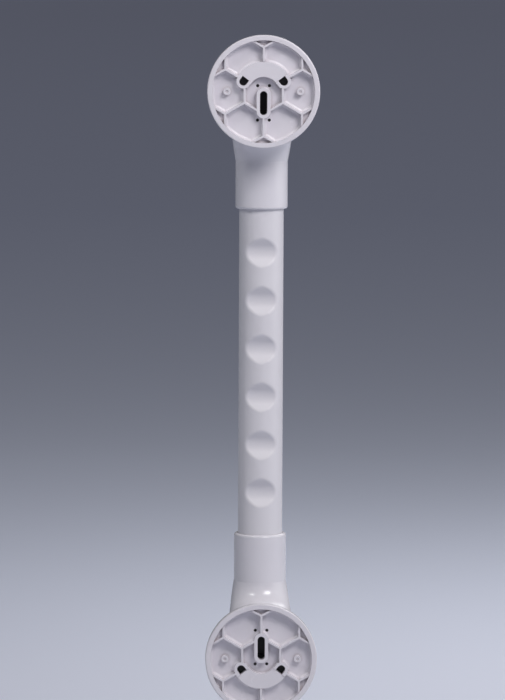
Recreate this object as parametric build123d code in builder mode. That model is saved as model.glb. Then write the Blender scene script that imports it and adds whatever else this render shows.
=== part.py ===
from build123d import *

import os
from math import cos, radians, sin, sqrt, tan

# A wall grab bar with two lever-operated heads for suction pads, in millimetres.
#
# X runs across the bar, Y away from the wall and Z up along the bar. The origin is the centre of the
# lower head's wall face. Each head piece is modelled once in its own frame, with the origin at the
# centre of its wall face and the bar running towards -Z. It is placed twice: shifted up for the upper
# head, and turned half a turn about Y for the lower one.

# ---- Driving dimensions --------------------------------------------------------------------------
disc_radius = 50.0  # outer radius of each head's round base
disc_spacing = 508.0  # between the centres of the two heads
bar_radius = 20.0
bar_standoff = 57.0  # from the wall plane to the bar's axis
collar_radius = 23.5  # outside of the socket that the bar goes into
collar_reach = 107.0  # from the disc centre to the collar's open end
bar_insertion = 24.0
wall = 3.0  # general moulded wall
loose_fit = 0.3
push_fit = 0.02
running_fit = 0.08
overlap = 1.0  # how far a joined or cutting solid runs into or past its neighbour
edge_break = 0.3

# ---- Head form -----------------------------------------------------------------------------------
skirt_height = 9.0
flange_thickness = 2.4  # of the base plate's rim, which the skirt's edge meets
skirt_edge_y = flange_thickness + loose_fit
dome_height = 46.0
dome_rise = dome_height - skirt_height
dome_sphere_radius = (disc_radius**2 + dome_rise**2) / (2 * dome_rise)
dome_sphere_y = dome_height - dome_sphere_radius
bend_z, bend_y = -64.0, 16.0  # centre line that the elbow turns about
elbow_inner_reach = 17.5  # from that line to the elbow's wall side
elbow_outer_reach_top = bar_standoff + collar_radius - bend_y
elbow_outer_reach_base = 50.0
elbow_base_half_width = 30.0
elbow_flare = 0.7  # power that the half-width grows with
elbow_steps = 4
collar_edge_radius = 2.2
crease_radius = 9.0  # where the elbow grows out of the dome
partition_thickness = 3.5
partition_z = -collar_reach + bar_insertion

# ---- Base plate ----------------------------------------------------------------------------------
plate_bore_radius = disc_radius - 2.0  # inside of the shell's skirt
plate_radius = plate_bore_radius - loose_fit
flange_edge_radius = 1.0
plate_thickness = 9.0
rim_inner_radius = 45.4
rib_top = 0.9  # depth of the ribs' free edges below the rim
floor_depth = 7.6  # depth of the pocket floors below the rim
rib_thickness = 1.8
cell_side = 0.393 * disc_radius  # side of the honeycomb's hexagons
rim_floor_depth = 4.2  # of the small pockets along the rim
floor_corner_radius = 2.6
small_floor_corner_radius = 0.8
wide_pocket_area = 550.0
small_pocket_area = 120.0
crescent_inner_radius = 13.2
crescent_outer_radius = 26.6
crescent_half_angle = 53.0  # degrees either side of the middle
crescent_root_half_angle = 60.0  # of the solid that carries it
crescent_top = 1.3
stem_slot_z = -10.1
stem_slot_width = 6.5
stem_slot_length = 21.1
stem_boss_wall = 3.0
vent_radius = 19.7  # from the disc's axis to the middle of each vent
vent_width = 7.1
vent_length = 7.3
vent_wall = 2.6
peg_hole_x = 5.2
peg_hole_rise = 15.25  # above and below the middle of the stem slot
peg_hole_radius = 1.4
post_x = 32.5
post_radius = 3.3
post_top = 3.2
post_dimple_radius = 1.3
post_dimple_depth = 0.6
draft_angle = 1.0  # degrees, so that a post leaves its mould
snap_count = 8
snap_length = 8.0
snap_proud = 0.4
snap_y0, snap_y1 = 4.0, 5.2
snap_play = 0.1

# ---- Lever mechanism -----------------------------------------------------------------------------
axle_radius = 2.0
axle_y = 36.0
axle_half_length = 13.6
open_angle = 90.0
pull_travel = 5.0
cam_start_radius = 6.0
cross_pin_radius = 1.6
cross_pin_half_length = 9.0
cam_slot_half_width = 1.85
cam_wall = 2.0
cam_steps = 6
hub_radius = 9.2
cheek_inner, cheek_outer = 6.2, 9.2
cheek_gap = 0.5
cheek_slot_y = 20.0  # the slots that the cheeks swing through, in the crown and the well
cheek_slot_z0 = -8.0
cheek_slot_length = 22.8
lever_gap = 0.6
lever_skin = 3.5
lever_flange_depth = 7.0
lever_flange_wall = 2.2
lever_root_radius = 13.6  # round the axle
lever_root_z = 8.0
hump_gap = 0.5  # between the lever's root and the round hump that it turns about
lever_root_half_width = 17.0
lever_tip_half_width = 20.0
lever_taper_length = 20.0  # over which the lever widens from its root
lever_tip_radius = 47.3
lever_lower_edge = 12.0
finger_arch_radius = 8.0  # of the arch in the lever's free edge that a finger hooks under
finger_arch_y = 10.0
arm_half_height = 5.0
arm_end_z = 28.0
arm_end_y = 26.0
well_wall = 2.2
well_back_y = 24.0
well_front_y = plate_thickness + 0.3 + well_wall
well_back_z, well_front_z = 17.0, 36.0

chassis_y = plate_thickness + 0.1
chassis_thickness = 3.0
chassis_top = chassis_y + chassis_thickness
chassis_radius = 43.0
chassis_z0, chassis_z1 = -30.0, 17.5
cheek_post_inner, cheek_post_outer = 9.8, 13.8
cheek_post_half_z = 4.4
guide_wall = 2.0
guide_top = 19.5
guide_play = 0.1  # at each side of the drawbar
screw_radius = 1.2
screw_head_radius = 2.8
screw_head_height = 1.8
screw_crown_radius = 0.7
driver_cross_length, driver_cross_width, driver_cross_depth = 2.6, 0.7, 1.0
screw_tip_y = 5.4

drawbar_half_width = 5.5
drawbar_z0, drawbar_z1 = -20.0, 0.0
drawbar_base_y = 14.5
drawbar_shoulder_y, drawbar_shoulder_z = 24.0, -12.0
drawbar_heel_y = 22.0
stem_socket_depth = 6.0
stem_socket_length = 17.0
drawbar_eye_radius = 3.2

# ---- Bar and its joints --------------------------------------------------------------------------
end_gap = 0.05
bar_z0 = -partition_z + end_gap
bar_z1 = disc_spacing - bar_z0
bar_middle = disc_spacing / 2
grip_inner_radius = 17.0
recess_count = 6
recess_pitch = 43.4
recess_depth = 5.4
recess_slope = 30.0  # degrees, the steepest part of a recess
recess_radius = 13.0
recess_lip_radius = 12.0
recess_lip_rise = 0.3  # how far a lip's round would stand out of the grip
recess_wall = 2.6
recess_edge_radius = 3.5  # where the recesses meet the round of the grip
bulkhead_thickness = 2.0
core_radius, core_bore_radius = 11.0, 9.5
plug_flange = 6.0
plug_spigot = 18.0
bolt_radius = 3.0
bolt_head_radius = 5.0
bolt_head_height = 6.0
bolt_key_radius = 2.9
bolt_length = 27.0
washer_radius = 6.4
washer_thickness = 1.2


def facing_wall(y):
    """A plane parallel to the wall and y away from it, with local x along X and local y along Z."""
    return Plane.XZ.offset(-y)


def across_bar(z):
    """A plane across the bar's axis, centred on that axis."""
    return Plane(origin=(0, bar_standoff, z), x_dir=(1, 0, 0), z_dir=(0, 0, 1))


def side_view(x, y=0.0):
    """A plane seen from the +X side, with local x along Y and local y along Z."""
    return Plane(origin=(x, y, 0), x_dir=(0, 1, 0), z_dir=(1, 0, 0))


# ---- Forms that several pieces share -------------------------------------------------------------
def dome_form(inset, y_low):
    """Solid dome and skirt, moved inwards by inset, starting at y_low."""
    reach = dome_sphere_radius - inset
    edge = disc_radius - inset
    shoulder = (dome_sphere_y + sqrt(reach**2 - edge**2), edge)
    middle = (dome_sphere_y + reach * cos(radians(45)), reach * sin(radians(45)))
    crown = (dome_sphere_y + reach, 0)
    with BuildPart() as form:
        with BuildSketch(side_view(0)):
            with BuildLine():
                Polyline(crown, (y_low, 0), (y_low, edge), shoulder)
                ThreePointArc(shoulder, middle, crown)
            make_face()
        revolve(axis=Axis.Y)
    return form.part


def elbow_section(turn, inset):
    """Plane and semi-axes of the elbow's section after a share, 0 to 1, of its quarter turn."""
    angle = radians(90 * turn)
    ease = turn * turn * (3 - 2 * turn)
    outer = elbow_outer_reach_top + (elbow_outer_reach_base - elbow_outer_reach_top) * ease
    middle = (outer + elbow_inner_reach) / 2
    half_depth = (outer - elbow_inner_reach) / 2 - inset
    half_width = collar_radius + (elbow_base_half_width - collar_radius) * turn**elbow_flare - inset
    origin = (0, bend_y + middle * cos(angle), bend_z + middle * sin(angle))
    plane = Plane(origin=origin, x_dir=(1, 0, 0), z_dir=(0, -sin(angle), cos(angle)))
    return plane, half_width, half_depth


def collar_form(inset, collar_end):
    """Solid round collar from the elbow to collar_end, moved inwards by inset."""
    with BuildPart() as collar:
        with BuildSketch(across_bar(bend_z)):
            Circle(collar_radius - inset)
        extrude(amount=collar_end - bend_z)
        fillet(collar.edges().filter_by(GeomType.CIRCLE).sort_by(Axis.Z)[0], collar_edge_radius)
    return collar.part


def elbow_form(inset, collar_end):
    """Solid elbow and collar from inside the dome to collar_end, moved inwards by inset."""
    collar = collar_form(inset, collar_end)
    with BuildPart() as form:
        for step in range(elbow_steps + 1):
            plane, half_width, half_depth = elbow_section(step / elbow_steps, inset)
            with BuildSketch(plane):
                Ellipse(half_width, half_depth)
        loft()
        with BuildSketch(plane):
            Ellipse(half_width, half_depth)
        extrude(amount=bend_y - skirt_height + overlap)
        add(collar)
    return form.part


def lever_prism(grow, root_z, reach, bottom):
    """The lever's plan outline, grown all round, within reach of the disc's axis, down to bottom."""
    top = dome_height + 10 * overlap
    half_root = lever_root_half_width + grow
    half_tip = lever_tip_half_width + grow
    outside = disc_radius + 5 * overlap
    corners = [(half_root, root_z), (half_tip, root_z + lever_taper_length), (half_tip, outside)]
    with BuildPart() as prism:
        with BuildSketch(facing_wall(top)):
            with BuildLine():
                Polyline(*corners, *[(-x, z) for x, z in reversed(corners)], close=True)
            make_face()
        extrude(amount=top - bottom)
        with BuildSketch(facing_wall(top)):
            Circle(reach)
        extrude(amount=top, mode=Mode.INTERSECT)
    return prism.part


def well_form(grow):
    """The space that the lever lies in, grown by the thickness of its walls and floor."""
    root_z = lever_root_z - lever_gap - grow
    back_y = well_back_y - grow
    front_y = well_front_y - grow
    above = dome_height + 10 * overlap
    outside = disc_radius + 5 * overlap
    plan = lever_prism(lever_gap + grow, root_z, disc_radius + 2 * overlap, 0)
    with BuildPart() as well:
        with BuildSketch(side_view(0)):
            with BuildLine():
                Polyline(
                    (above, root_z),
                    (back_y, root_z),
                    (back_y, well_back_z),
                    (front_y, well_front_z),
                    (front_y, outside),
                    (above, outside),
                    close=True,
                )
            make_face()
        extrude(amount=disc_radius, both=True)
        add(plan, mode=Mode.INTERSECT)
        with BuildSketch(side_view(0, axle_y)):
            Circle(lever_root_radius - hump_gap - grow)
        extrude(amount=disc_radius, both=True, mode=Mode.SUBTRACT)
    return well.part


# ---- Pieces of a head ----------------------------------------------------------------------------
def end_shell():
    """Dome, skirt, elbow and collar in one hollow moulding, with the well that the lever lies in."""
    dome_outside = dome_form(0, skirt_edge_y)
    dome_inside = dome_form(wall, 0)
    elbow_outside = elbow_form(0, -collar_reach)
    elbow_inside = elbow_form(wall, partition_z + partition_thickness)
    well_walls = well_form(well_wall)
    well_space = well_form(0)
    dome_core = dome_form(wall / 2, skirt_edge_y)
    with BuildPart() as tray:
        add(well_walls)
        add(dome_core, mode=Mode.INTERSECT)
    with BuildPart() as shell:
        add(dome_outside)
        add(elbow_outside)
        crease = shell.edges().filter_by(GeomType.BSPLINE).sort_by(Axis.Y)[0]
        fillet(crease, crease_radius)
        add(dome_inside, mode=Mode.SUBTRACT)
        add(elbow_inside, mode=Mode.SUBTRACT)
        add(tray.part)
        add(well_space, mode=Mode.SUBTRACT)
        with BuildSketch(across_bar(-collar_reach)):
            Circle(bar_radius + loose_fit)
        extrude(amount=bar_insertion, mode=Mode.SUBTRACT)
        with BuildSketch(across_bar(partition_z)):
            Circle(bolt_radius + loose_fit)
        extrude(amount=partition_thickness, mode=Mode.SUBTRACT)
        with BuildSketch(facing_wall(plate_thickness + end_gap)):
            Circle(plate_bore_radius)
        extrude(amount=plate_thickness, mode=Mode.SUBTRACT)
        with BuildSketch(facing_wall(snap_y1 + snap_play)):
            Circle(plate_bore_radius + snap_proud)
        extrude(amount=snap_y1 - snap_y0 + 2 * snap_play, mode=Mode.SUBTRACT)
        for start in (cheek_inner - cheek_gap, -cheek_outer - cheek_gap):
            with BuildSketch(side_view(start)):
                with Locations((cheek_slot_y, cheek_slot_z0)):
                    Rectangle(dome_height, cheek_slot_length, align=(Align.MIN, Align.MIN))
            extrude(amount=cheek_outer - cheek_inner + 2 * cheek_gap, mode=Mode.SUBTRACT)
    return shell.part


def vent_outline(side, grow):
    """U-shaped outline beside one end of the crescent, grown all round."""
    turn = 90 - crescent_half_angle
    run = vent_length - vent_width / 2
    start_x = vent_radius * cos(radians(turn))
    start_y = vent_radius * sin(radians(turn))
    centre_x = start_x + run * sin(radians(turn))
    centre_y = start_y - run * cos(radians(turn))
    middle = (side * (start_x + centre_x) / 2, (start_y + centre_y) / 2, 0)
    with BuildSketch() as outline:
        with Locations(Location(middle, (0, 0, side * turn))):
            Rectangle(vent_width + 2 * grow, run + 2 * grow)
        with Locations((side * centre_x, centre_y)):
            Circle(vent_width / 2 + grow)
    return outline.sketch


def crescent_outline(half_angle):
    """Flat annular sector on the side of the disc that is away from the bar."""
    far = 2 * disc_radius
    spread = radians(half_angle)
    with BuildSketch() as outline:
        Circle(crescent_outer_radius)
        Circle(crescent_inner_radius, mode=Mode.SUBTRACT)
        with BuildLine():
            Polyline(
                (0, 0),
                (far * sin(spread), far * cos(spread)),
                (0, far * 2),
                (-far * sin(spread), far * cos(spread)),
                close=True,
            )
        make_face(mode=Mode.INTERSECT)
    return outline.sketch


def rib_lines():
    """Ends of the honeycomb's ribs on the +X half, in hexagon sides from the disc's axis."""
    root = sqrt(3) / 2
    return [
        ((0, -1), (0, -2)),
        ((0, 1.2), (0, 2)),
        ((0, -2), (root, -2.5)),
        ((0, 2), (root, 2.5)),
        ((0, -1), (root, -0.5)),
        ((root, -0.5), (root, 0.5)),
        ((root, -0.5), (2 * root, -1)),
        ((root, 0.5), (2 * root, 1)),
        ((2 * root, -1), (2 * root, -2)),
        ((2 * root, 1), (2 * root, 2)),
        ((2 * root, -1), (3 * root, -0.5)),
        ((2 * root, 1), (3 * root, 0.5)),
    ]


def pocket_plan():
    """Outlines of the honeycomb's pockets, between the rim, the ribs and the bosses."""
    crescent = crescent_outline(crescent_root_half_angle)
    vent_bosses = [vent_outline(side, vent_wall) for side in (-1, 1)]
    with BuildSketch() as pockets:
        Circle(rim_inner_radius)
        for side in (-1, 1):
            with BuildLine():
                for (x0, z0), (x1, z1) in rib_lines():
                    Line((side * x0 * cell_side, z0 * cell_side), (side * x1 * cell_side, z1 * cell_side))
            trace(line_width=rib_thickness, mode=Mode.SUBTRACT)
        add(crescent, mode=Mode.SUBTRACT)
        for boss in vent_bosses:
            add(boss, mode=Mode.SUBTRACT)
        with Locations((0, stem_slot_z)):
            boss_length = stem_slot_length + 2 * stem_boss_wall
            boss_width = stem_slot_width + 2 * stem_boss_wall
            SlotOverall(boss_length, boss_width, rotation=90, mode=Mode.SUBTRACT)
    return pockets.sketch


def pocket_block(outline):
    """Solid that cuts one pocket, from the ribs' free edges to its round-cornered floor."""
    depth = rim_floor_depth if outline.area < small_pocket_area else floor_depth
    corner = floor_corner_radius if outline.area > wide_pocket_area else small_floor_corner_radius
    with BuildPart() as block:
        with BuildSketch(facing_wall(depth)):
            add(outline)
        extrude(amount=depth)
        fillet(block.edges().group_by(Axis.Y)[-1], corner)
    return block.part


def base_plate():
    """Round base with the honeycomb of ribs, the stem slot, the vents and the screw posts."""
    crescent = crescent_outline(crescent_half_angle)
    vents = [vent_outline(side, 0) for side in (-1, 1)]
    pockets = [pocket_block(face) for face in pocket_plan().faces()]
    with BuildPart() as plate:
        with BuildSketch(facing_wall(flange_thickness)):
            Circle(disc_radius)
        extrude(amount=flange_thickness)
        fillet(plate.edges(), flange_edge_radius)
        with BuildSketch(facing_wall(plate_thickness)):
            Circle(plate_radius)
        extrude(amount=plate_thickness - flange_thickness / 2)
        with BuildSketch(facing_wall(rib_top)):
            Circle(rim_inner_radius)
        extrude(amount=rib_top, mode=Mode.SUBTRACT)
        for pocket in pockets:
            add(pocket, mode=Mode.SUBTRACT)
        with BuildSketch(facing_wall(crescent_top)):
            add(crescent)
        extrude(amount=crescent_top, mode=Mode.SUBTRACT)
        with BuildSketch(facing_wall(plate_thickness)):
            for vent in vents:
                add(vent)
            with Locations((0, stem_slot_z)):
                SlotOverall(stem_slot_length, stem_slot_width, rotation=90)
            for side in (-1, 1):
                for end in (-1, 1):
                    with Locations((side * peg_hole_x, stem_slot_z + end * peg_hole_rise)):
                        Circle(peg_hole_radius)
        extrude(amount=plate_thickness, mode=Mode.SUBTRACT)
        with BuildSketch(facing_wall(floor_depth)):
            with Locations((-post_x, 0), (post_x, 0)):
                Circle(post_radius)
        extrude(amount=floor_depth - post_top, taper=draft_angle)
        with BuildSketch(facing_wall(post_top)):
            with Locations((-post_x, 0), (post_x, 0)):
                Circle(post_dimple_radius)
        extrude(amount=-post_dimple_depth, mode=Mode.SUBTRACT)
        with BuildSketch(facing_wall(plate_thickness)):
            with Locations((-post_x, 0), (post_x, 0)):
                Circle(screw_radius + push_fit)
        extrude(amount=plate_thickness - screw_tip_y + loose_fit, mode=Mode.SUBTRACT)
        with BuildSketch(facing_wall(snap_y1)):
            with PolarLocations(plate_radius - overlap / 2, snap_count):
                Rectangle(overlap, snap_length)
        extrude(amount=snap_y1 - snap_y0)
    return plate.part


def chassis():
    """Carrier behind the base plate, with the axle's posts and the drawbar's guide."""
    half_guide = drawbar_half_width + guide_play
    guide_z = (drawbar_z0 + drawbar_z1) / 2
    guide_length = drawbar_z1 - drawbar_z0 + loose_fit
    with BuildPart() as carrier:
        with BuildSketch(facing_wall(chassis_top)):
            Circle(chassis_radius)
            with Locations((0, (chassis_z0 + chassis_z1) / 2)):
                Rectangle(2 * chassis_radius, chassis_z1 - chassis_z0, mode=Mode.INTERSECT)
        extrude(amount=chassis_thickness)
        with BuildSketch(facing_wall(guide_top)):
            with Locations((0, guide_z)):
                Rectangle(2 * (half_guide + guide_wall), guide_length + 2 * guide_wall)
        extrude(amount=guide_top - chassis_y)
        for start in (cheek_post_inner, -cheek_post_outer):
            with BuildSketch(side_view(start)):
                with Locations((axle_y, 0)):
                    Circle(cheek_post_half_z)
                with Locations((chassis_y + overlap, 0)):
                    post_height = axle_y - chassis_y - overlap
                    Rectangle(post_height, 2 * cheek_post_half_z, align=(Align.MIN, Align.CENTER))
            extrude(amount=cheek_post_outer - cheek_post_inner)
        with BuildSketch(side_view(0, axle_y)):
            Circle(axle_radius + push_fit)
        extrude(amount=cheek_post_outer, both=True, mode=Mode.SUBTRACT)
        with BuildSketch(facing_wall(guide_top)):
            with Locations((0, guide_z)):
                Rectangle(2 * half_guide, guide_length)
        extrude(amount=guide_top, mode=Mode.SUBTRACT)
        with BuildSketch(facing_wall(chassis_top)):
            with Locations((-post_x, 0), (post_x, 0)):
                Circle(screw_radius + guide_play)
        extrude(amount=chassis_thickness, mode=Mode.SUBTRACT)
    return carrier.part


def chassis_screws():
    """Two pan-head screws from the chassis into the base plate's posts."""
    with BuildPart() as screws:
        with BuildSketch(facing_wall(chassis_top + push_fit)):
            with Locations((-post_x, 0), (post_x, 0)):
                Circle(screw_head_radius)
        extrude(amount=-screw_head_height)
        fillet(screws.edges().group_by(Axis.Y)[-1], screw_crown_radius)
        with BuildSketch(facing_wall(chassis_top + screw_head_height / 2)):
            with Locations((-post_x, 0), (post_x, 0)):
                Circle(screw_radius)
        extrude(amount=chassis_top + screw_head_height / 2 - screw_tip_y)
        with BuildSketch(facing_wall(chassis_top + screw_head_height + push_fit)):
            with Locations((-post_x, 0), (post_x, 0)):
                Rectangle(driver_cross_length, driver_cross_width)
                Rectangle(driver_cross_width, driver_cross_length)
        extrude(amount=driver_cross_depth, mode=Mode.SUBTRACT)
    return screws.part


def lever_axle():
    """Steel pin that the lever turns on."""
    with BuildPart() as axle:
        with BuildSketch(side_view(0, axle_y)):
            Circle(axle_radius)
        extrude(amount=axle_half_length, both=True)
        chamfer(axle.edges().filter_by(GeomType.CIRCLE), edge_break)
    return axle.part


def cross_pin():
    """Steel pin in the drawbar's eye that runs in both cam slots."""
    with BuildPart() as pin:
        with BuildSketch(side_view(0, axle_y - cam_start_radius)):
            Circle(cross_pin_radius)
        extrude(amount=cross_pin_half_length, both=True)
        chamfer(pin.edges().filter_by(GeomType.CIRCLE), edge_break)
    return pin.part


def cam_point(share):
    """Place of the cross pin in the shut lever's frame after a share, 0 to 1, of the opening."""
    angle = radians(open_angle * share)
    reach = cam_start_radius + pull_travel * share
    return (axle_y - reach * cos(angle), -reach * sin(angle))


def cam_outline(half_width):
    """Round-ended spiral band that follows the cross pin, whose reach grows evenly with the angle."""
    path = [cam_point(step / cam_steps) for step in range(cam_steps + 1)]
    with BuildSketch() as band:
        with BuildLine():
            Spline(*path)
        trace(line_width=2 * half_width)
        with Locations(path[0], path[-1]):
            Circle(half_width)
    return band.sketch


def lever():
    """Cover that lies flush in the dome, with two cheeks that carry the hubs and cam slots."""
    inner_root_z = lever_root_z + lever_flange_wall
    inner_reach = lever_tip_radius - lever_flange_wall
    blank = lever_prism(0, lever_root_z, lever_tip_radius, lever_lower_edge)
    inner_blank = lever_prism(-lever_flange_wall, inner_root_z, inner_reach, 0)
    dome = dome_form(0, 0)
    under_skin = dome_form(lever_skin, 0)
    under_flange = dome_form(lever_flange_depth, 0)
    arm_top = dome_form(lever_skin / 2, 0)
    arm_top_y = axle_y + arm_half_height + overlap
    arm_bottom_y = axle_y - arm_half_height
    arm_root_z = lever_root_radius - overlap
    cam_slot = cam_outline(cam_slot_half_width)
    cam_plate = cam_outline(cam_slot_half_width + cam_wall)
    with BuildPart() as hollow:
        add(inner_blank)
        add(under_skin, mode=Mode.INTERSECT)
    with BuildPart() as cover:
        add(blank)
        add(dome, mode=Mode.INTERSECT)
        add(under_flange, mode=Mode.SUBTRACT)
        add(hollow.part, mode=Mode.SUBTRACT)
        with BuildSketch(side_view(0, axle_y)):
            Circle(lever_root_radius)
        extrude(amount=disc_radius, both=True, mode=Mode.SUBTRACT)
        with BuildSketch(across_bar(lever_tip_radius - finger_arch_radius)):
            with Locations((0, finger_arch_y - bar_standoff)):
                Circle(finger_arch_radius)
        extrude(amount=2 * finger_arch_radius, mode=Mode.SUBTRACT)
    with BuildPart() as arms:
        for start in (cheek_inner, -cheek_outer):
            with BuildSketch(side_view(start)):
                with BuildLine():
                    Polyline(
                        (arm_top_y, 0),
                        (arm_top_y, arm_root_z),
                        (dome_height, arm_root_z),
                        (dome_height, arm_end_z),
                        (arm_end_y, arm_end_z),
                        (arm_bottom_y, arm_root_z),
                        (arm_bottom_y, 0),
                        close=True,
                    )
                make_face()
            extrude(amount=cheek_outer - cheek_inner)
        add(arm_top, mode=Mode.INTERSECT)
        for start in (cheek_inner, -cheek_outer):
            with BuildSketch(side_view(start)):
                with Locations((axle_y, 0)):
                    Circle(hub_radius)
                add(cam_plate)
            extrude(amount=cheek_outer - cheek_inner)
            with BuildSketch(side_view(start)):
                add(cam_slot)
            extrude(amount=cheek_outer - cheek_inner, mode=Mode.SUBTRACT)
        with BuildSketch(side_view(0, axle_y)):
            Circle(axle_radius + running_fit)
        extrude(amount=disc_radius, both=True, mode=Mode.SUBTRACT)
    with BuildPart() as handle:
        add(cover.part)
        add(arms.part)
    return handle.part


def drawbar():
    """Guided block with a socket for the pad's stem and an eye for the cross pin."""
    pin_y = axle_y - cam_start_radius
    flare_y = guide_top + pull_travel + loose_fit
    with BuildPart() as bar:
        with BuildSketch(side_view(-drawbar_half_width)):
            with BuildLine():
                Polyline(
                    (drawbar_base_y, drawbar_z0),
                    (drawbar_base_y, drawbar_z1),
                    (flare_y, drawbar_z1),
                    (pin_y, drawbar_eye_radius),
                    (pin_y, -drawbar_eye_radius),
                    (drawbar_shoulder_y, drawbar_shoulder_z),
                    (drawbar_heel_y, drawbar_z0),
                    close=True,
                )
            make_face()
            with Locations((pin_y, 0)):
                Circle(drawbar_eye_radius)
        extrude(amount=2 * drawbar_half_width)
        with BuildSketch(side_view(0, pin_y)):
            Circle(cross_pin_radius + push_fit)
        extrude(amount=drawbar_half_width, both=True, mode=Mode.SUBTRACT)
        with BuildSketch(facing_wall(drawbar_base_y)):
            with Locations((0, (drawbar_z0 + drawbar_z1) / 2)):
                Rectangle(stem_slot_width, stem_socket_length)
        extrude(amount=-stem_socket_depth, mode=Mode.SUBTRACT)
    return bar.part


def joint_washer():
    """Steel washer under the joint bolt's head."""
    with BuildPart() as washer:
        with BuildSketch(across_bar(partition_z + partition_thickness + push_fit)):
            Circle(washer_radius)
            Circle(bolt_radius + loose_fit, mode=Mode.SUBTRACT)
        extrude(amount=washer_thickness)
    return washer.part


def joint_bolt():
    """Socket-head bolt through the partition into the tube plug."""
    head_z = partition_z + partition_thickness + washer_thickness + 2 * push_fit
    with BuildPart() as bolt:
        with BuildSketch(across_bar(head_z)):
            Circle(bolt_head_radius)
        extrude(amount=bolt_head_height)
        fillet(bolt.edges().group_by(Axis.Z)[-1], 2 * edge_break)
        with BuildSketch(across_bar(head_z)):
            Circle(bolt_radius)
        extrude(amount=-bolt_length)
        chamfer(bolt.edges().group_by(Axis.Z)[0], edge_break)
        with BuildSketch(across_bar(head_z + bolt_head_height)):
            RegularPolygon(bolt_key_radius, 6)
        extrude(amount=-bolt_head_height / 2, mode=Mode.SUBTRACT)
    return bolt.part


def tube_plug():
    """Flanged plug that closes the grip's end, enters the core tube and takes the joint bolt."""
    with BuildPart() as plug:
        with BuildSketch(across_bar(partition_z - end_gap)):
            Circle(grip_inner_radius - loose_fit)
        extrude(amount=-plug_flange)
        with BuildSketch(across_bar(partition_z - end_gap - plug_flange)):
            Circle(core_bore_radius - push_fit)
        extrude(amount=-plug_spigot)
        with BuildSketch(across_bar(partition_z)):
            Circle(bolt_radius + push_fit)
        extrude(amount=-(plug_flange + plug_spigot + overlap), mode=Mode.SUBTRACT)
    return plug.part


# ---- Pieces of the bar ---------------------------------------------------------------------------
def core_tube():
    """Aluminium tube along the middle of the grip."""
    with BuildPart() as tube:
        with BuildSketch(across_bar(bar_z0 + plug_flange + end_gap)):
            Circle(core_radius)
            Circle(core_bore_radius, mode=Mode.SUBTRACT)
        extrude(amount=bar_z1 - bar_z0 - 2 * (plug_flange + end_gap))
    return tube.part


def recess_outline(inset):
    """Side view of a finger recess, moved inwards by inset and closed on the wall side."""
    surface_y = bar_standoff - bar_radius
    slope = radians(recess_slope)
    bottom_radius = recess_radius + inset
    lip_radius = recess_lip_radius - inset
    bottom_y = surface_y + recess_depth - recess_radius
    lip_y = surface_y - recess_lip_rise + recess_lip_radius
    radii = recess_radius + recess_lip_radius
    straight_rise = recess_depth + recess_lip_rise - radii * (1 - cos(slope))
    lip_reach = radii * sin(slope) + straight_rise / tan(slope)
    wall_y = surface_y - overlap
    bottom_end = (bottom_y + bottom_radius * cos(slope), bottom_radius * sin(slope))
    lip_start = (lip_y - lip_radius * cos(slope), lip_reach - lip_radius * sin(slope))
    lip_end = (lip_y - lip_radius, lip_reach)
    with BuildSketch() as outline:
        with BuildLine():
            for up in (1, -1):
                Line((bottom_end[0], up * bottom_end[1]), (lip_start[0], up * lip_start[1]))
                CenterArc((lip_y, up * lip_reach), lip_radius, 180, up * recess_slope)
                Polyline((lip_end[0], up * lip_end[1]), (wall_y, up * lip_reach), (wall_y, 0))
            CenterArc((bottom_y, 0), bottom_radius, -recess_slope, 2 * recess_slope)
        make_face()
    return outline.sketch


def recess_block(inset):
    """Solids across the bar that scoop out the finger recesses."""
    outline = recess_outline(inset)
    first_z = bar_middle - (recess_count - 1) / 2 * recess_pitch
    with BuildPart() as block:
        with BuildSketch(side_view(0)):
            for number in range(recess_count):
                with Locations((0, first_z + number * recess_pitch)):
                    add(outline)
        extrude(amount=bar_radius + overlap, both=True)
    return block.part


def whole_grip():
    """Full round grip with its finger recesses, inner bulkheads and hollow inside."""
    recesses = recess_block(0)
    recess_walls = recess_block(recess_wall)
    with BuildPart() as hollow:
        with BuildSketch(across_bar(bar_z0)):
            Circle(grip_inner_radius)
        extrude(amount=bar_z1 - bar_z0)
        for number in range(recess_count + 1):
            middle_z = bar_middle + (number - recess_count / 2) * recess_pitch
            with BuildSketch(across_bar(middle_z - bulkhead_thickness / 2)):
                Circle(grip_inner_radius)
                Circle(core_radius + push_fit, mode=Mode.SUBTRACT)
            extrude(amount=bulkhead_thickness, mode=Mode.SUBTRACT)
        add(recess_walls, mode=Mode.SUBTRACT)
    with BuildPart() as grip:
        with BuildSketch(across_bar(bar_z0)):
            Circle(bar_radius)
        extrude(amount=bar_z1 - bar_z0)
        add(recesses, mode=Mode.SUBTRACT)
        rims = [edge for edge in grip.edges() if edge.geom_type in (GeomType.BSPLINE, GeomType.ELLIPSE)]
        fillet(rims, recess_edge_radius)
        add(hollow.part, mode=Mode.SUBTRACT)
    return grip.part


def grip_half(grip, front):
    """The half of the grip on the room side, or the half on the wall side."""
    seam = Plane.XZ.offset(-bar_standoff)
    with BuildPart() as half:
        add(grip)
        split(bisect_by=seam, keep=Keep.BOTTOM if front else Keep.TOP)
    return half.part


# ---- Assembly ------------------------------------------------------------------------------------
head_placements = {
    "upper": Location((0, 0, disc_spacing)),
    "lower": Location((0, 0, 0), (0, 180, 0)),
}
head_pieces = {
    "shell": end_shell,
    "base_plate": base_plate,
    "chassis": chassis,
    "chassis_screws": chassis_screws,
    "lever": lever,
    "lever_axle": lever_axle,
    "cross_pin": cross_pin,
    "drawbar": drawbar,
    "joint_washer": joint_washer,
    "joint_bolt": joint_bolt,
    "tube_plug": tube_plug,
}


def write_piece(piece, name):
    """Label a finished piece and write it under its own name."""
    piece.label = name
    export_step(piece, f"parts/{name}.step")


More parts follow.
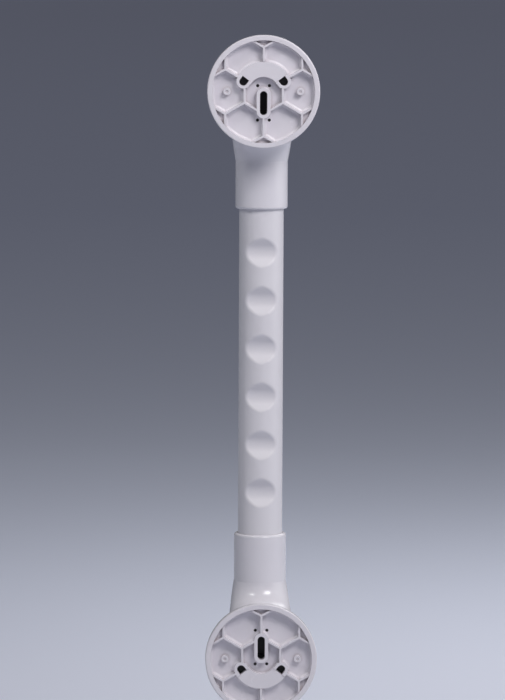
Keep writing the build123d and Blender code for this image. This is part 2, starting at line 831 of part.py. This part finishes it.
if __name__ == "__main__":
    os.makedirs("parts", exist_ok=True)
    for piece_name, make_piece in head_pieces.items():
        piece = make_piece()
        for side, placement in head_placements.items():
            write_piece(piece.moved(placement), f"{side}_{piece_name}")
    grip = whole_grip()
    write_piece(grip_half(grip, front=False), "grip_rear_shell")
    write_piece(grip_half(grip, front=True), "grip_front_shell")
    write_piece(core_tube(), "core_tube")
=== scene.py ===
import math

import bpy
from mathutils import Matrix, Vector


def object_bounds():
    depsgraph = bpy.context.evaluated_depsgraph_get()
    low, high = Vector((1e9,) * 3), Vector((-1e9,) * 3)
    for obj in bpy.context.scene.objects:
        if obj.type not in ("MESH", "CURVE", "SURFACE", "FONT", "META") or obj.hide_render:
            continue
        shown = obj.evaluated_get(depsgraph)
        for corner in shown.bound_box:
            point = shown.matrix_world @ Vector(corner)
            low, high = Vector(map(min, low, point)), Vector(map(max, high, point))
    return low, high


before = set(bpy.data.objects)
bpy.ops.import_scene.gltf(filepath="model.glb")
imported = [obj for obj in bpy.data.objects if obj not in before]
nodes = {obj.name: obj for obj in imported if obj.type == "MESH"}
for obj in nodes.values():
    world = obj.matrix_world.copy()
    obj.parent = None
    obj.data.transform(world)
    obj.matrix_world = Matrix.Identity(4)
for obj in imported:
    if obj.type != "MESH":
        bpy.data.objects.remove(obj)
cad_low, cad_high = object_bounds()

# ---- Sizes and places, in metres and degrees -----------------------------------------------------
camera_distance = 4.0
camera_elevation = 5.84
camera_turn = 1.46  # the camera stands this far round to the left of the object's wall side
camera_roll = 0.245
camera_lens = 229.7  # millimetres
camera_sensor = 36  # millimetres tall
camera_aim_x = -0.0082
camera_aim_y = 0.030
camera_aim_rise = 0.0216  # above the middle of the object
camera_clip_end = 500

floor_drop = 0.25  # below the lower head
floor_radius = 120.0
floor_sides = 96

# ---- Colours and surfaces ------------------------------------------------------------------------
# Painted light and shade: the floor's colour changes with distance, palest in a ring and greyer
# nearer and farther, standing in for how light falls on it.
floor_first_colour = (0.60, 0.62, 0.70, 1)  # 1 m away
floor_last_colour = (0.50, 0.53, 0.67, 1)  # 32 m away
floor_doublings = 5.0  # from 1 m to 32 m
floor_painted_light_colours = {  # by share of the doublings
    0.10: (0.78, 0.81, 0.93, 1),
    0.38: (0.80, 0.85, 1.0, 1),
    0.66: (0.58, 0.62, 0.78, 1),
}

sky_low_colour = (0.36, 0.37, 0.42, 1)
sky_high_colour = (0.60, 0.60, 0.63, 1)
sky_high_position = 0.9
sky_strength = 0.31

noise_low, noise_high = 0.3, 0.7  # the part of a noise texture's range that is used
cloud_scale, smear_scale, polish_scale, line_scale = 28, 90, 60, 900  # noise, per metre
# Painted shade: plastics are darkened in their inner corners by an ambient-occlusion node, as shade
# painted into the colour.
painted_corner_shade_shares = (0.52, 0.46, 0.45)  # of a plastic's red, green and blue left in its inner corners, where shade is painted into the colour
painted_corner_shade_reach = 0.003
plastic_ior = 1.53
plastic_edge_radius = 0.0005
metal_edge_radius = 0.0002
metal_line_depth = 0.00004
darker_share = 0.8  # of a metal's colour left where it is darker


# ---- Materials -----------------------------------------------------------------------------------
def material_tree(name):
    """A new material, its node tree and its Principled shader."""
    material = bpy.data.materials.new(name)
    material.use_nodes = True
    tree = material.node_tree
    return material, tree, tree.nodes["Principled BSDF"]


def noise(tree, scale, detail=3.0, roughness=0.5):
    """Noise in the object's own coordinates, so it stays with the piece. Scale is per metre."""
    place = tree.nodes.new("ShaderNodeTexCoord")
    texture = tree.nodes.new("ShaderNodeTexNoise")
    texture.inputs["Scale"].default_value = scale
    texture.inputs["Detail"].default_value = detail
    texture.inputs["Roughness"].default_value = roughness
    tree.links.new(place.outputs["Object"], texture.inputs["Vector"])
    return texture.outputs["Fac"]


def spread(tree, factor, low, high):
    """Remaps a noise factor to the range from low to high."""
    remap = tree.nodes.new("ShaderNodeMapRange")
    remap.inputs["From Min"].default_value = noise_low
    remap.inputs["From Max"].default_value = noise_high
    remap.inputs["To Min"].default_value = low
    remap.inputs["To Max"].default_value = high
    tree.links.new(factor, remap.inputs["Value"])
    return remap.outputs["Result"]


def tint(tree, factor, first, second):
    """Mixes two colours by a factor."""
    mix = tree.nodes.new("ShaderNodeMix")
    mix.data_type = "RGBA"
    mix.inputs["A"].default_value = (*first, 1)
    mix.inputs["B"].default_value = (*second, 1)
    tree.links.new(factor, mix.inputs["Factor"])
    return mix.outputs["Result"]


def paint_corner_shade(tree, colour, painted_corner_shade_colour, reach):
    """Paints shade into a colour: darkens it in the inner corners that are within reach."""
    # painted shade: ambient occlusion sets how far the colour is darkened towards the corner colour
    corners = tree.nodes.new("ShaderNodeAmbientOcclusion")
    corners.samples = 6
    corners.only_local = True
    corners.inputs["Distance"].default_value = reach
    mix = tree.nodes.new("ShaderNodeMix")
    mix.data_type = "RGBA"
    mix.inputs["A"].default_value = (*painted_corner_shade_colour, 1)
    tree.links.new(colour, mix.inputs["B"])
    tree.links.new(corners.outputs["AO"], mix.inputs["Factor"])
    return mix.outputs["Result"]


def bump(tree, shader, height, strength, distance, edge_radius):
    """Surface relief from a height, over edges that are rounded by edge_radius."""
    edges = tree.nodes.new("ShaderNodeBevel")
    edges.samples = 4
    edges.inputs["Radius"].default_value = edge_radius
    relief = tree.nodes.new("ShaderNodeBump")
    relief.inputs["Strength"].default_value = strength
    relief.inputs["Distance"].default_value = distance
    tree.links.new(height, relief.inputs["Height"])
    tree.links.new(edges.outputs["Normal"], relief.inputs["Normal"])
    tree.links.new(relief.outputs["Normal"], shader.inputs["Normal"])


def moulded_plastic(name, colour, darker, gloss, grain_scale, grain_depth):
    """Moulded plastic: cloudy tint, shade painted into its inner corners, uneven gloss and a fine
    orange peel.
    """
    material, tree, shader = material_tree(name)
    cloud = noise(tree, cloud_scale, detail=4)
    smear = noise(tree, smear_scale, detail=5, roughness=0.6)
    grain = noise(tree, grain_scale, detail=2)
    # painted shade: the colour the plastic is darkened to in its inner corners
    painted_corner_shade_colour = tuple(share * c for share, c in zip(painted_corner_shade_shares, colour))
    clouded = tint(tree, cloud, darker, colour)
    colour_with_painted_shade = paint_corner_shade(tree, clouded, painted_corner_shade_colour, painted_corner_shade_reach)
    tree.links.new(colour_with_painted_shade, shader.inputs["Base Color"])
    tree.links.new(spread(tree, smear, gloss - 0.05, gloss + 0.07), shader.inputs["Roughness"])
    shader.inputs["IOR"].default_value = plastic_ior
    bump(tree, shader, grain, 0.25, grain_depth, plastic_edge_radius)
    return material


def metal(name, colour, gloss, stretch):
    """Bare metal with fine machining lines, stretched along one axis."""
    material, tree, shader = material_tree(name)
    place = tree.nodes.new("ShaderNodeTexCoord")
    mapping = tree.nodes.new("ShaderNodeMapping")
    mapping.inputs["Scale"].default_value = stretch
    lines = tree.nodes.new("ShaderNodeTexNoise")
    lines.inputs["Scale"].default_value = line_scale
    lines.inputs["Detail"].default_value = 3
    tree.links.new(place.outputs["Object"], mapping.inputs["Vector"])
    tree.links.new(mapping.outputs["Vector"], lines.inputs["Vector"])
    darker = tuple(darker_share * c for c in colour)
    polish = tint(tree, noise(tree, polish_scale), darker, colour)
    tree.links.new(polish, shader.inputs["Base Color"])
    roughness = spread(tree, lines.outputs["Fac"], gloss - 0.08, gloss + 0.12)
    tree.links.new(roughness, shader.inputs["Roughness"])
    shader.inputs["Metallic"].default_value = 1.0
    bump(tree, shader, lines.outputs["Fac"], 0.15, metal_line_depth, metal_edge_radius)
    return material


white_housing = moulded_plastic(
    "white_housing", (0.80, 0.79, 0.83), (0.74, 0.73, 0.78),
    gloss=0.20, grain_scale=1400, grain_depth=0.00004,
)
white_base = moulded_plastic(
    "white_base", (0.82, 0.80, 0.84), (0.76, 0.74, 0.79),
    gloss=0.22, grain_scale=1100, grain_depth=0.00005,
)
white_grip = moulded_plastic(
    "white_grip", (0.79, 0.78, 0.81), (0.73, 0.72, 0.76),
    gloss=0.34, grain_scale=2200, grain_depth=0.00006,
)
grey_lever = moulded_plastic(
    "grey_lever", (0.34, 0.36, 0.40), (0.30, 0.32, 0.36),
    gloss=0.26, grain_scale=1800, grain_depth=0.00005,
)
black_carrier = moulded_plastic(
    "black_carrier", (0.010, 0.010, 0.011), (0.006, 0.006, 0.007),
    gloss=0.5, grain_scale=2600, grain_depth=0.0001,
)
black_slider = moulded_plastic(
    "black_slider", (0.012, 0.012, 0.013), (0.007, 0.007, 0.008),
    gloss=0.4, grain_scale=1600, grain_depth=0.00005,
)
grey_plug = moulded_plastic(
    "grey_plug", (0.10, 0.105, 0.115), (0.07, 0.075, 0.08),
    gloss=0.45, grain_scale=2000, grain_depth=0.0001,
)
steel = metal("steel", (0.60, 0.60, 0.62), gloss=0.28, stretch=(0.05, 1, 1))
aluminium = metal("aluminium", (0.74, 0.75, 0.77), gloss=0.36, stretch=(1, 1, 0.03))

head_materials = {
    "shell": white_housing,
    "base_plate": white_base,
    "chassis": black_carrier,
    "chassis_screws": steel,
    "lever": grey_lever,
    "lever_axle": steel,
    "cross_pin": steel,
    "drawbar": black_slider,
    "joint_washer": steel,
    "joint_bolt": steel,
    "tube_plug": grey_plug,
}
node_materials = {
    "grip_rear_shell": white_grip,
    "grip_front_shell": white_grip,
    "core_tube": aluminium,
}
for side in ("upper", "lower"):
    for piece, material in head_materials.items():
        node_materials[f"{side}_{piece}"] = material

for name, material in node_materials.items():
    for material_slot in nodes[name].material_slots:
        material_slot.material = material


# ---- Floor and light -----------------------------------------------------------------------------
def pale_floor():
    """Plain round floor with painted light: its colour is palest about 1.4 to 3.7 m away and greyer
    nearer and farther.
    """
    bpy.ops.mesh.primitive_circle_add(vertices=floor_sides, radius=floor_radius, fill_type="NGON")
    floor = bpy.context.object
    floor.name = "floor"
    floor.location.z = cad_low[2] - floor_drop
    material, tree, shader = material_tree("floor")
    place = tree.nodes.new("ShaderNodeTexCoord")
    reach = tree.nodes.new("ShaderNodeVectorMath")
    reach.operation = "LENGTH"
    doublings = tree.nodes.new("ShaderNodeMath")
    doublings.operation = "LOGARITHM"
    doublings.inputs[1].default_value = 2.0
    share = tree.nodes.new("ShaderNodeMapRange")
    share.inputs["From Min"].default_value = 0.0
    share.inputs["From Max"].default_value = floor_doublings
    # painted light: this ramp makes the floor palest in a ring and greyer nearer and farther
    ramp = tree.nodes.new("ShaderNodeValToRGB")
    ramp.color_ramp.elements[0].color = floor_first_colour
    ramp.color_ramp.elements[1].color = floor_last_colour
    for position, colour in floor_painted_light_colours.items():
        ramp.color_ramp.elements.new(position).color = colour
    tree.links.new(place.outputs["Object"], reach.inputs[0])
    tree.links.new(reach.outputs["Value"], doublings.inputs[0])
    tree.links.new(doublings.outputs["Value"], share.inputs["Value"])
    tree.links.new(share.outputs["Result"], ramp.inputs["Fac"])
    tree.links.new(ramp.outputs["Color"], shader.inputs["Base Color"])
    shader.inputs["Roughness"].default_value = 0.9
    shader.inputs["Specular IOR Level"].default_value = 0.1
    floor.data.materials.append(material)


def sky():
    """Soft grey surroundings, a little brighter overhead."""
    world = bpy.data.worlds.new("studio")
    world.use_nodes = True
    tree = world.node_tree
    place = tree.nodes.new("ShaderNodeTexCoord")
    parts = tree.nodes.new("ShaderNodeSeparateXYZ")
    ramp = tree.nodes.new("ShaderNodeValToRGB")
    ramp.color_ramp.elements[0].position = 0.0
    ramp.color_ramp.elements[0].color = sky_low_colour
    ramp.color_ramp.elements[1].position = sky_high_position
    ramp.color_ramp.elements[1].color = sky_high_colour
    tree.links.new(place.outputs["Generated"], parts.inputs["Vector"])
    tree.links.new(parts.outputs["Z"], ramp.inputs["Fac"])
    tree.links.new(ramp.outputs["Color"], tree.nodes["Background"].inputs["Color"])
    tree.nodes["Background"].inputs["Strength"].default_value = sky_strength
    bpy.context.scene.world = world


def around(azimuth, elevation, distance):
    """Place at a distance from the middle of the object, from an azimuth and elevation."""
    turn, rise = math.radians(azimuth), math.radians(elevation)
    away = Vector(
        (math.sin(turn) * math.cos(rise), -math.cos(turn) * math.cos(rise), math.sin(rise))
    )
    return middle_point + away * distance


def soft_box(name, place, aim, size, power, colour=(1, 1, 1)):
    """Square light at a place that faces another place, and isn't seen itself."""
    lamp = bpy.data.lights.new(name, "AREA")
    lamp.size = size
    lamp.energy = power
    lamp.color = colour
    holder = bpy.data.objects.new(name, lamp)
    bpy.context.scene.collection.objects.link(holder)
    holder.location = place
    holder.rotation_euler = (aim - place).to_track_quat("-Z", "Y").to_euler()
    holder.visible_camera = False


def place_camera():
    """Long-lens camera on the wall side, a little above the object and slightly turned and tilted."""
    turn, rise = math.radians(camera_turn), math.radians(camera_elevation)
    forward = Vector(
        (math.sin(turn) * math.cos(rise), math.cos(turn) * math.cos(rise), -math.sin(rise))
    )
    aim = Vector((camera_aim_x, camera_aim_y, middle_point.z + camera_aim_rise))
    data = bpy.data.cameras.new("camera")
    data.sensor_fit = "VERTICAL"
    data.sensor_height = camera_sensor
    data.lens = camera_lens
    data.clip_end = camera_clip_end
    camera = bpy.data.objects.new("camera", data)
    bpy.context.scene.collection.objects.link(camera)
    level = forward.to_track_quat("-Z", "Y").to_matrix().to_4x4()
    tilt = Matrix.Rotation(math.radians(camera_roll), 4, "Z")
    camera.matrix_world = Matrix.Translation(aim - forward * camera_distance) @ level @ tilt
    bpy.context.scene.camera = camera


middle_point = (Vector(cad_low) + Vector(cad_high)) / 2
pale_floor()
sky()
soft_box(
    "key", around(33, 42, 2.2), middle_point, size=0.8, power=25, colour=(1.0, 0.96, 0.985)
)
soft_box("second_box", around(-44, 52, 2.2), middle_point, size=0.6, power=8.5)
soft_box("fill_right", around(84, 14, 2.4), middle_point, size=2.0, power=12)
soft_box("room_side", around(155, 40, 2.4), middle_point, size=1.2, power=8)
soft_box("floor_wash", Vector((0.75, 1.9, 1.2)), Vector((0.75, 1.9, 0)), size=1.4, power=9)
place_camera()
bpy.context.scene.view_settings.view_transform = "Standard"
